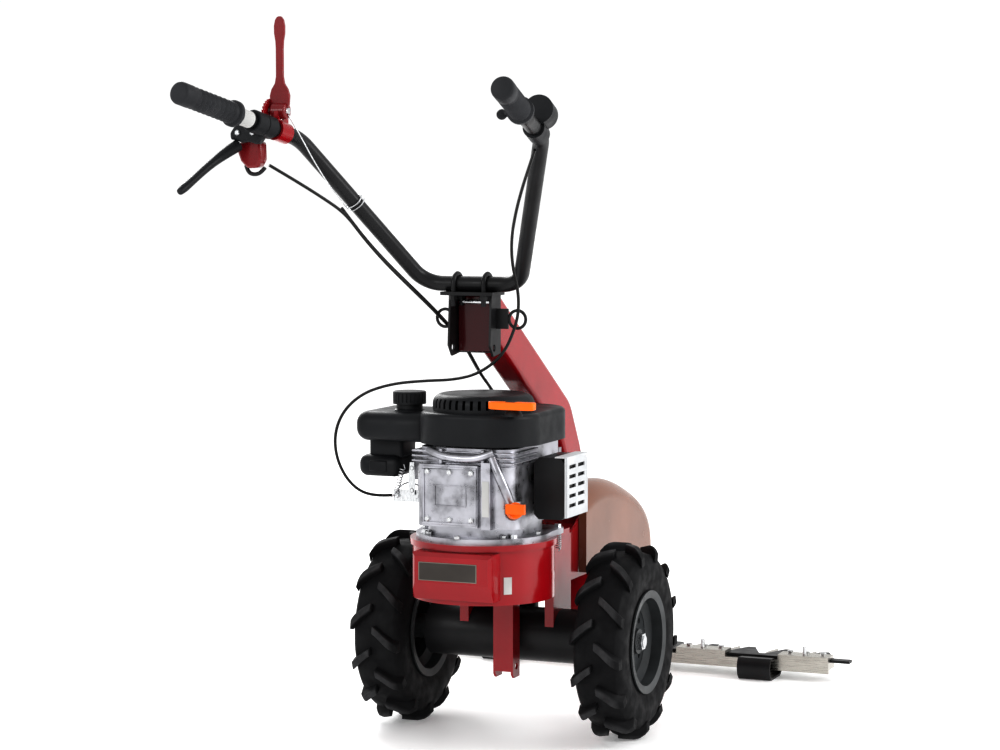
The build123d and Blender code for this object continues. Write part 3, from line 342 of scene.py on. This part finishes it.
slots = {part["node"]: part["material_slot"] for part in frame["record"]["subparts"]}
for name, node in frame["nodes"].items():
    node.data.materials.clear()
    node.data.materials.append(NODE_FINISH.get(name) or SLOT_FINISH[slots[name]])


# ---- lines: cables, wires and bent rods ----
def smooth_line(name, points, radius, along, around, radii=None):
    """A round curve on one smooth line, in millimetres; radii taper it point by point."""
    curve = bpy.data.curves.new(name, "CURVE")
    curve.dimensions = "3D"
    spline = curve.splines.new("NURBS")
    spline.points.add(len(points) - 1)
    for knot, point, share in zip(spline.points, points, radii or [1] * len(points)):
        knot.co = (*mm(*point), 1)
        knot.radius = share
    spline.use_endpoint_u = True
    spline.order_u = 3
    curve.resolution_u = along
    curve.bevel_depth = radius * MM
    curve.bevel_resolution = around
    curve.use_fill_caps = True
    return bpy.data.objects.new(name, curve)


CABLE = 0.005


def cable(name, route, node):
    """A sheathed cable along its route, in place of its CAD tube."""
    piece = smooth_line(name, route, CABLE / MM / 2, 8, 4)
    bpy.context.scene.collection.objects.link(piece)
    piece.data.materials.append(SHEATH)
    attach(piece, "chassis")
    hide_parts(node)


cable("throttle_cable_sheath", THROTTLE, "throttle_cable")
cable("traction_cable_sheath", TRACTION, "traction_cable")
cable("cutter_cable_sheath", CUTTER, "cutter_cable")


# ---- mesh helpers ----
def finished(name, mesh_maker, material, body, slot, *replaced, smooth=40, bevel=0.0, segments=2):
    """Makes a piece from a filled bmesh, gives it its finish and hangs it on its body."""
    bmesh.ops.remove_doubles(mesh_maker, verts=mesh_maker.verts, dist=1e-6)
    bmesh.ops.recalc_face_normals(mesh_maker, faces=mesh_maker.faces)
    mesh = bpy.data.meshes.new(name)
    mesh_maker.to_mesh(mesh)
    mesh_maker.free()
    mesh.materials.append(material)
    piece = bpy.data.objects.new(name, mesh)
    bpy.context.scene.collection.objects.link(piece)
    if bevel:
        edges = piece.modifiers.new("rounded_edges", "BEVEL")
        edges.width, edges.segments, edges.limit_method = bevel, segments, "ANGLE"
    mesh.shade_smooth()
    mesh.set_sharp_from_angle(angle=math.radians(smooth))
    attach(piece, body)
    if replaced:
        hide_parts(*replaced)
    return piece


def facing(place, direction):
    """The matrix that carries the z axis to a line through a place."""
    return Matrix.Translation(place) @ Vector(direction).to_track_quat("Z", "Y").to_matrix().to_4x4()


def turn(maker, profile, origin, direction, steps=48):
    """Spins a profile of (distance along, radius) about a line."""
    place = facing(origin, direction)
    verts = [maker.verts.new(place @ Vector((radius, 0, distance))) for distance, radius in profile]
    edges = [maker.edges.new(pair) for pair in zip(verts, verts[1:])]
    bmesh.ops.spin(maker, geom=verts + edges, cent=origin, axis=direction, angle=math.tau, steps=steps,
                   use_merge=True, use_duplicate=False)


def brick(maker, low, high):
    """A box between two corners, in millimetres."""
    low, high = mm(*low), mm(*high)
    size = Matrix.Diagonal((*(high - low), 1))
    middle = Matrix.Translation((low + high) / 2)
    return bmesh.ops.create_cube(maker, size=1, matrix=middle @ size)["verts"]


def rounded_brick(maker, low, high, radius, segments=5):
    """A box with every edge rounded, in millimetres."""
    corners = brick(maker, low, high)
    edges = list({edge for vert in corners for edge in vert.link_edges})
    bmesh.ops.bevel(maker, geom=edges, offset=radius * MM, offset_type="OFFSET", segments=segments,
                    profile=0.5, affect="EDGES", material=-1)


def prism(maker, outline, origin, across, up, thick):
    """Extrudes an outline of (across, up) to both sides of its plane; millimetres throughout."""
    across, up = Vector(across), Vector(up)
    normal = across.cross(up).normalized() * thick * MM
    place = mm(*origin) - normal / 2
    verts = [maker.verts.new(place + (across * a + up * b) * MM) for a, b in outline]
    face = maker.faces.new(verts)
    out = bmesh.ops.extrude_face_region(maker, geom=[face], use_keep_orig=True)
    moved = [vert for vert in out["geom"] if isinstance(vert, bmesh.types.BMVert)]
    bmesh.ops.translate(maker, vec=normal, verts=moved)


def plate(name, outline, origin, thick, material, slot, *replaced, across=X, up=Z, body="chassis",
          bevel=0.0008):
    """One flat piece cut to an outline, upright across the mower unless its directions say otherwise."""
    maker = bmesh.new()
    prism(maker, outline, origin, across, up, thick)
    return finished(name, maker, material, body, slot, *replaced, bevel=bevel)


def rectangle(width, height):
    """An outline about its middle."""
    a, b = width / 2, height / 2
    return [(-a, -b), (a, -b), (a, b), (-a, b)]


CHAMFER = 1.2


def bolt_head(maker, place, direction, radius, height):
    """A hexagon head with a chamfered crown, standing on a point; sizes in millimetres."""
    seat = facing(mm(*place), direction)
    bmesh.ops.create_cone(maker, cap_ends=True, segments=6, radius1=radius * MM, radius2=radius * MM,
                          depth=height * MM, matrix=seat @ Matrix.Translation(mm(0, 0, height / 2)))
    crown = seat @ Matrix.Translation(mm(0, 0, height + CHAMFER / 2))
    bmesh.ops.create_cone(maker, cap_ends=True, segments=24, radius1=radius * 0.8 * MM,
                          radius2=radius * 0.62 * MM, depth=CHAMFER * MM, matrix=crown)


def bolts(name, heads):
    """Loose hexagon heads as one piece; each is (place, direction, radius, height)."""
    maker = bmesh.new()
    for place, direction, radius, height in heads:
        bolt_head(maker, place, direction, radius, height)
    finished(name, maker, ZINC, "chassis", "steel", bevel=0.0003)


def wire(name, points, radius, material, *replaced, body="chassis", slot="steel", radii=None):
    """A bent rod or lever on a smooth line."""
    holder = smooth_line(name, points, radius, 10, 5, radii)
    skin = bpy.data.meshes.new_from_object(holder)
    maker = bmesh.new()
    maker.from_mesh(skin)
    bpy.data.objects.remove(holder)
    bpy.data.meshes.remove(skin)
    return finished(name, maker, material, body, slot, *replaced)


def spring(name, start, end, coil, gauge, turns):
    """A coil spring with straight ends between two points, in millimetres."""
    start, end = Vector(start), Vector(end)
    run = end - start
    side = run.orthogonal().normalized()
    other = run.normalized().cross(side)
    points = [start]
    for step in range(turns * 8 + 1):
        angle = step * math.tau / 8
        along = 0.12 + 0.76 * step / (turns * 8)
        points.append(start + run * along + (side * math.cos(angle) + other * math.sin(angle)) * coil)
    points.append(end)
    return wire(name, points, gauge, ZINC)


# ---- tyres: a hollow carcass and two staggered rows of lugs that sweep outwards, in metres ----
TYRE_LOW, TYRE_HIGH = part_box("tyres")
TYRE_RADIUS = (TYRE_HIGH.z - TYRE_LOW.z) / 2
HALF_WIDTH = 0.044
CROWN = TYRE_RADIUS - 0.014
LUGS = 13
LUG_START, LUG_RUN = 0.003, 0.0405
LUG_WIDTH, LUG_WIDENING = 0.0155, 0.004
SWEEP_START, LUG_SWEEP = 0.003, 0.034
LUG_SHOULDER, SHOULDER_RUN, SHOULDER_DROP = 0.026, 0.017, 0.013


def lug_top(x):
    """Height of a lug's face above the axle at a distance from the tyre's middle."""
    edge = max(0.0, abs(x) - LUG_SHOULDER) / SHOULDER_RUN
    return TYRE_RADIUS - 0.0006 - SHOULDER_DROP * edge**2


def add_carcass(maker, centre):
    """The tyre's closed section, spun about the axle."""
    outer = [(0.030, 0.077), (0.038, 0.0775), (0.0395, 0.088), (0.0425, 0.1), (0.0438, 0.115),
             (0.043, 0.128), (0.040, 0.139), (0.034, 0.146), (0.020, CROWN - 0.001)]
    inner = [(0.034, 0.1), (0.032, 0.128), (0.018, 0.138)]
    section = [(-x, radius) for x, radius in outer] + [(0, CROWN)] + outer[::-1]
    section += inner + [(-x, radius) for x, radius in inner[::-1]] + [(-outer[0][0], outer[0][1])]
    turn(maker, section, centre, X, 72)


def add_lug(maker, centre, hand, middle):
    """One lug: a raised strip from the tyre's middle out to the shoulder, wider at its root."""
    base = bmesh.ops.create_grid(maker, x_segments=7, y_segments=2, size=0.5)["verts"]
    faces = list({face for vert in base for face in vert.link_faces})
    raised = bmesh.ops.extrude_face_region(maker, geom=faces, use_keep_orig=True)
    tops = {vert for vert in raised["geom"] if isinstance(vert, bmesh.types.BMVert)}
    for vert in [*base, *tops]:
        run = vert.co.x + 0.5
        x = hand * (LUG_START + LUG_RUN * run)
        width = LUG_WIDTH + LUG_WIDENING * run - (0.003 if vert in tops else -0.002)
        sweep = SWEEP_START + LUG_SWEEP * run**1.15 + vert.co.y * width
        reach = lug_top(x) if vert in tops else min(CROWN - 0.008, lug_top(x) - 0.016)
        angle = middle + sweep / TYRE_RADIUS - math.pi / 2
        vert.co = centre + Vector((x, reach * math.cos(angle), reach * math.sin(angle)))


def add_tyre(maker, side):
    centre = Vector((side * (TYRE_HIGH.x - HALF_WIDTH), 0, TYRE_RADIUS))
    add_carcass(maker, centre)
    for hand, stagger in ((-1, 0), (1, 0.5)):
        for number in range(LUGS):
            add_lug(maker, centre, hand, (number + stagger) * math.tau / LUGS)


maker = bmesh.new()
for side in (-1, 1):
    add_tyre(maker, side)
finished("lugged_tyres", maker, TREAD, "drive_axle", "tyre_rubber", "tyres", smooth=35, bevel=0.0012)

# ---- grips and their end caps ----
SHOULDER = Vector((0.205, -0.4, 1.003))
GRIP_END = Vector((0.258, -0.683, 1.067))
ARM = (GRIP_END - SHOULDER).normalized()
GRIP_LENGTH = 0.128
GRIP_RIBS = 8
STEPS_PER_RIB = 4


def mirrored(point, side):
    """A point or direction of the right arm, carried to the arm on a side."""
    return Vector((side * point.x, point.y, point.z))


def grip_profile():
    """A collar, finger ribs and a rounded end, as (distance, radius) in metres."""
    profile = [(-0.004, 0.0127), (-0.004, 0.0185), (-0.002, 0.0205), (0.004, 0.0205), (0.006, 0.0168)]
    steps = GRIP_RIBS * STEPS_PER_RIB
    for step in range(steps + 1):
        wave = math.cos(step * math.tau / STEPS_PER_RIB)
        profile.append((0.010 + 0.088 * step / steps, 0.0158 + 0.0014 * wave))
    profile += [(0.102, 0.0162), (0.106, 0.0174), (GRIP_LENGTH, 0.0174), (0.1315, 0.0162), (0.1328, 0.013),
                (0.1328, 0.0001)]
    return profile


for side, hand in ((-1, "left"), (1, "right")):
    maker = bmesh.new()
    turn(maker, grip_profile(), mirrored(GRIP_END - ARM * GRIP_LENGTH, side), mirrored(ARM, side), 40)
    finished(f"{hand}_grip", maker, GRIP, "chassis", "grip_rubber", "grips", smooth=50)

# ---- recoil starter: a tapered bar with a square boss, over its rope guide ----
HANDLE = [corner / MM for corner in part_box("starter_handle")]
handle_middle = (HANDLE[0] + HANDLE[1]) / 2
handle_half = (HANDLE[1].x - HANDLE[0].x) / 2
GUIDE_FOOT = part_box("shroud")[1].z - 0.028

maker = bmesh.new()
bar = [(-handle_half, -2.5), (-32, -7), (-10, -11), (32, -11), (handle_half, -7), (handle_half, 7),
       (32, 11), (-10, 11), (-32, 7), (-handle_half, 2.5)]
prism(maker, bar, handle_middle, X, Y, 12.6)
finished("starter_grip", maker, ORANGE, "starter_body", "orange_plastic", "starter_handle", bevel=0.0022,
         segments=3)
maker = bmesh.new()
brick(maker, handle_middle + Vector((-9, -8, 4.8)), handle_middle + Vector((7, 8, 7)))
finished("starter_grip_boss", maker, PLASTIC, "starter_body", "black_plastic", bevel=0.0006)
maker = bmesh.new()
turn(maker, [(0, 0.0001), (0, 0.015), (0.004, 0.0145), (0.0108, 0.009), (0.0108, 0.0001)],
     Vector((handle_middle.x * MM, (HANDLE[0].y + 19) * MM, GUIDE_FOOT)), Z, 32)
finished("starter_rope_guide", maker, PLASTIC, "chassis", "black_plastic")

# ---- fuel tank: a blown box with fat edges and a filler neck ----
TANK = [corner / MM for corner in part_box("fuel_tank")]
FILLER = mm(-148, -110, TANK[1].z - 14)
maker = bmesh.new()
rounded_brick(maker, TANK[0], (TANK[1].x + 6, TANK[1].y, TANK[1].z - 11), 21, 7)
turn(maker, [(0, 0.0001), (0, 0.026), (0.004, 0.0255), (0.006, 0.0222), (0.0136, 0.0218), (0.0138, 0.0001)],
     FILLER, Z, 48)
finished("blown_fuel_tank", maker, PLASTIC, "chassis", "black_plastic", "fuel_tank", smooth=50)

# ---- air filter: a moulded case with its raised lid and a catch ----
FILTER_LOW, FILTER_HIGH = [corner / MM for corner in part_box("air_filter_case")]
maker = bmesh.new()
rounded_brick(maker, FILTER_LOW, (FILTER_HIGH.x, FILTER_HIGH.y, FILTER_LOW.z + 37), 15, 6)
rounded_brick(maker, (-222, -115, FILTER_LOW.z + 30), (-160, -55, FILTER_HIGH.z + 3), 7, 3)
rounded_brick(maker, (-216, -129.5, FILTER_LOW.z + 9), (-182, -120, FILTER_LOW.z + 28), 3, 2)
finished("moulded_air_filter", maker, PLASTIC, "chassis", "black_plastic", "air_filter_case", smooth=50)

# ---- cutter lever and its toothed quadrant ----
LEVER_LOW, LEVER_HIGH = [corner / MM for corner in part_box("cutter_lever")]
BOSS = 13
pivot = Vector(((LEVER_LOW.x + LEVER_HIGH.x) / 2, LEVER_LOW.y + BOSS, LEVER_LOW.z + BOSS))


def barrel(half_length, radius, shoulder, end_radius):
    """A pin or boss about its middle, with both ends eased, in metres."""
    return [(-half_length, 0.0001), (-half_length, end_radius), (-shoulder, radius), (shoulder, radius),
            (half_length, end_radius), (half_length, 0.0001)]


maker = bmesh.new()
half_blade = [(12, 0), (16, 10), (17, 24), (14, 34), (8, 43), (6, 54), (6, 96), (6.6, 108), (8.8, 120),
              (9, 132), (7, 141), (3, 146.5)]
prism(maker, half_blade + [(-a, b) for a, b in reversed(half_blade)], pivot, X, Z, 6)
turn(maker, barrel(0.013, 0.0128, 0.0115, 0.0112), pivot * MM, X, 40)
finished("cutter_lever_blade", maker, DARK_RED, "cutter_lever_body", "red_paint", "cutter_lever",
         bevel=0.0011)
maker = bmesh.new()
turn(maker, barrel(0.0155, 0.0058, 0.013, 0.005), pivot * MM, X, 24)
finished("cutter_lever_pin", maker, ZINC, "cutter_lever_body", "steel")


def quadrant_outline(teeth=9, first=64, spread=112, tip=30, root=26.5):
    """A square foot under a toothed arc, in millimetres."""
    outline = [(-6, -6), (6, -6)]
    for step in range(teeth * 2 + 1):
        angle = math.radians(first + spread * step / (teeth * 2))
        reach = tip if step % 2 else root
        outline.append((reach * math.cos(angle), reach * math.sin(angle) - 8))
    return outline


plate("quadrant_sector", quadrant_outline(), pivot + Vector((-17.5, 0, -2)), 3.5, RED, "red_paint",
      across=Y, up=Z)


# ---- clutch perch: a split collar on the arm with the bracket that holds the lever ----
def on_left_arm(distance):
    """The point of the left arm that far from its shoulder, in metres."""
    return mirrored(SHOULDER + ARM * distance, -1)


LEFT_ARM = mirrored(ARM, -1)
maker = bmesh.new()
turn(maker, [(0, 0.0128), (0, 0.0165), (0.0015, 0.0178), (0.0225, 0.0178), (0.0235, 0.0166),
             (0.0245, 0.0166), (0.0255, 0.0178), (0.0475, 0.0178), (0.049, 0.0165), (0.049, 0.0128)],
     on_left_arm(0.074), LEFT_ARM, 48)
finished("perch_collar", maker, PLASTIC, "chassis", "black_plastic", "clutch_perch", smooth=30)
perch_outline = [(-26, -8), (-27, 4), (-18, 16), (6, 22), (26, 18), (29, -4), (21, -15), (4, -10), (-8, -12),
                 (-18, -6)]
plate("perch_bracket", perch_outline, (-250, -488, 1008), 19, PLASTIC, "black_plastic", bevel=0.004)
bolts("perch_screws", [((x, -497.5, 1012), (0, -1, 0), 4.5, 3.5) for x in (-262, -236)])
maker = bmesh.new()
turn(maker, [(0, 0.0126), (0, 0.0132), (0.026, 0.0132), (0.026, 0.0126)], on_left_arm(0.13), LEFT_ARM, 32)
finished("arm_label_band", maker, LABEL, "chassis", "black_paint")

# ---- clutch lever, latch and hook ----
wire("clutch_lever_blade", [(-268, -486, 993), (-276, -500, 984), (-287, -518, 971), (-293, -540, 958),
                            (-299, -574, 938), (-303, -598, 925), (-304, -606, 921)],
     7.4, PLASTIC, "clutch_lever", body="clutch_lever_body", slot="black_plastic",
     radii=(1.3, 1.2, 1.0, 0.85, 0.8, 0.95, 0.7))
latch_outline = [(-30, -4), (-26, 10), (-8, 13), (11, 10), (12, -18), (5, -30), (-13, -31), (-24, -20)]
plate("latch_casting", latch_outline, (-246, -464, 988), 24, DARK_RED, "red_paint", "lever_latch",
      body="latch_body", bevel=0.004)
wire("latch_hook", [(-266, -464, 962), (-263, -464, 951), (-252, -464, 947), (-240, -464, 950),
                    (-233, -464, 958)], 3.2, BLACK, body="latch_body", slot="black_paint")

# ---- lever rod, and the clip of two wire rings on the left arm ----
wire("lever_rod", [(-200, -448, 1040), (-190, -424, 1006), (-180, -392, 962), (-168, -352, 918),
                   (-158, -322, 892)], 1.0, ZINC)
RING_RADIUS, RING_GAUGE = 0.0146, 0.0012
ring_angles = [step * math.tau / 8 for step in range(9)]
ring = [(RING_GAUGE * math.cos(a), RING_RADIUS + RING_GAUGE * math.sin(a)) for a in ring_angles]
maker = bmesh.new()
arm_down = Vector((121, 213, -233)).normalized()
for offset in (0, 7):
    turn(maker, ring, mm(-154, -310, 905) + arm_down * offset * MM, arm_down, 32)
finished("arm_clip", maker, ZINC, "chassis", "steel")

# ---- bracket: the column's red end shows between its black cheeks, its red darkened as painted shade ----
bracket_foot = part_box("handlebar_bracket")[0].z / MM
maker = bmesh.new()
brick(maker, (-33.5, -168, bracket_foot + 6), (33.5, -161.7, bracket_foot + 98))
# the end plate takes the darkened red, so the channel's shade is painted into its colour
finished("column_end_plate", maker, SHADE_PAINTED_RED, "chassis", "red_paint", bevel=0.002)
maker = bmesh.new()
turn(maker, [(-0.030, 0.0001), (-0.030, 0.0034), (0.030, 0.0034), (0.030, 0.0001)],
     mm(0, -170, bracket_foot + 88), X, 24)
finished("clamp_cross_pin", maker, ZINC, "chassis", "steel", bevel=0.0004)

# ---- crankcase: ridges on the cover, ribs, bolts, runner, filler tube and a blank label ----
COVER_Y = -240
INNER_FRAME = (((-45, 443), (11, 445)), ((-45, 410), (11, 412)), ((-45, 412), (-43, 443)),
               ((9, 412), (11, 443)))
OUTER_FRAME = (((-66, 380), (29, 383.5)), ((-66, 471), (29, 474.5)), ((-66, 383.5), (-62.5, 471)),
               ((25.5, 383.5), (29, 471)))


def ridges(maker, sides, rise):
    """Raised ridges on the cover, each between two (x, z) corners."""
    for (left, foot), (right, head) in sides:
        brick(maker, (left, COVER_Y - rise, foot), (right, COVER_Y + 0.5, head))


maker = bmesh.new()
ridges(maker, INNER_FRAME, 1.6)
ridges(maker, OUTER_FRAME, 2.2)
finished("cover_ridges", maker, CAST, "chassis", "cast_aluminium", bevel=0.0005)
cover_bolts = [((x, COVER_Y, z), (0, -1, 0), 5, 3.2) for x in (-57, -18, 20) for z in (389, 466)]
flange_spots = ((-66, -214), (0, -250), (66, -214), (-100, -150), (100, -150))
bolts("engine_bolts", cover_bolts + [((x, y, 359), Z, 5.5, 4.5) for x, y in flange_spots])
maker = bmesh.new()
for height in (480.5, 488.5, 496.5):
    brick(maker, (-90, -231, height), (90, -120, height + 3))
for x in (-40, 34):
    brick(maker, (x, -234, 478), (x + 6, -226, 503))
finished("case_cooling_ribs", maker, CAST, "chassis", "cast_aluminium", bevel=0.0012)
wire("intake_runner", [(-60, -230, 500), (-40, -237, 492), (0, -239, 488), (34, -237, 490), (56, -232, 500)],
     6.5, CAST, slot="cast_aluminium")
wire("filler_tube", [(50, -228, 494), (60, -234, 476), (72, -235, 452), (80, -230, 430), (84, -222, 410)],
     8, CAST, slot="cast_aluminium")
plate("case_label", rectangle(12, 58), (46, COVER_Y - 2.4, 425), 1.0, LABEL, "cast_aluminium", bevel=0.0002)

# ---- governor springs and linkage beside the carburettor ----
spring("governor_spring", (-166, -130, 408), (-150, -130, 462), 4.2, 0.9, 9)
spring("idle_spring", (-128, -130, 404), (-104, -130, 446), 3.2, 0.8, 8)
wire("throttle_link", [(-174, -128, 404), (-160, -128, 424), (-146, -112, 432), (-141, -84, 420)], 1.2, ZINC)
wire("choke_link", [(-100, -128, 470), (-118, -130, 478), (-140, -112, 480), (-150, -78, 470)], 1.2, ZINC)
plate("governor_lever", [(-5, -30), (5, -30), (6, -8), (4, 26), (-4, 26), (-7, -6)], (-136, -127, 440), 2,
      ZINC, "steel", bevel=0.0004)
governor_spots = ((-136, 418), (-136, 456), (-104, 400), (-104, 458), (-164, 408))
bolts("governor_bolts", [((x, -124, z), (0, -1, 0), 4.6, 4) for x, z in governor_spots])

# ---- blank panel and labels on the red boxes ----
BOX_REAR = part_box("counterweight")[0].y / MM
PANEL_WIDTH, PANEL_HEIGHT = 102, 30
plate("rear_panel_edge", rectangle(PANEL_WIDTH, PANEL_HEIGHT), (-6, BOX_REAR - 0.2, 308), 0.9, BADGE_EDGE,
      "red_paint", bevel=0.0002)
plate("rear_panel", rectangle(PANEL_WIDTH * 0.97, PANEL_HEIGHT * 0.92), (-6, BOX_REAR - 0.5, 308), 0.9,
      BADGE, "red_paint", bevel=0.0002)
DECK_MIDDLE = Vector((0, -140, 284))
DECK_RADIUS = 118.4
deck_turn = math.radians(42)
deck_out = Vector((math.sin(deck_turn), -math.cos(deck_turn), 0))
plate("deck_label", rectangle(14, 28), DECK_MIDDLE + deck_out * DECK_RADIUS, 0.8, LABEL, "red_paint",
      across=(math.cos(deck_turn), math.sin(deck_turn), 0), bevel=0.0002)
COLUMN_TOP = Vector((0, -168, 738))
column_along = Vector((0, 348, -217)).normalized()
column_up = Vector((0, 217, 348)).normalized()
plate("column_label", rectangle(24, 68), COLUMN_TOP + column_along * 270 + column_up * 36.2, 0.8, LABEL,
      "red_paint", up=column_along, bevel=0.0002)

# ---- brake spring on the right ----
spring("brake_spring", (99, -52, 318), (99, -52, 352), 4.5, 1.0, 7)
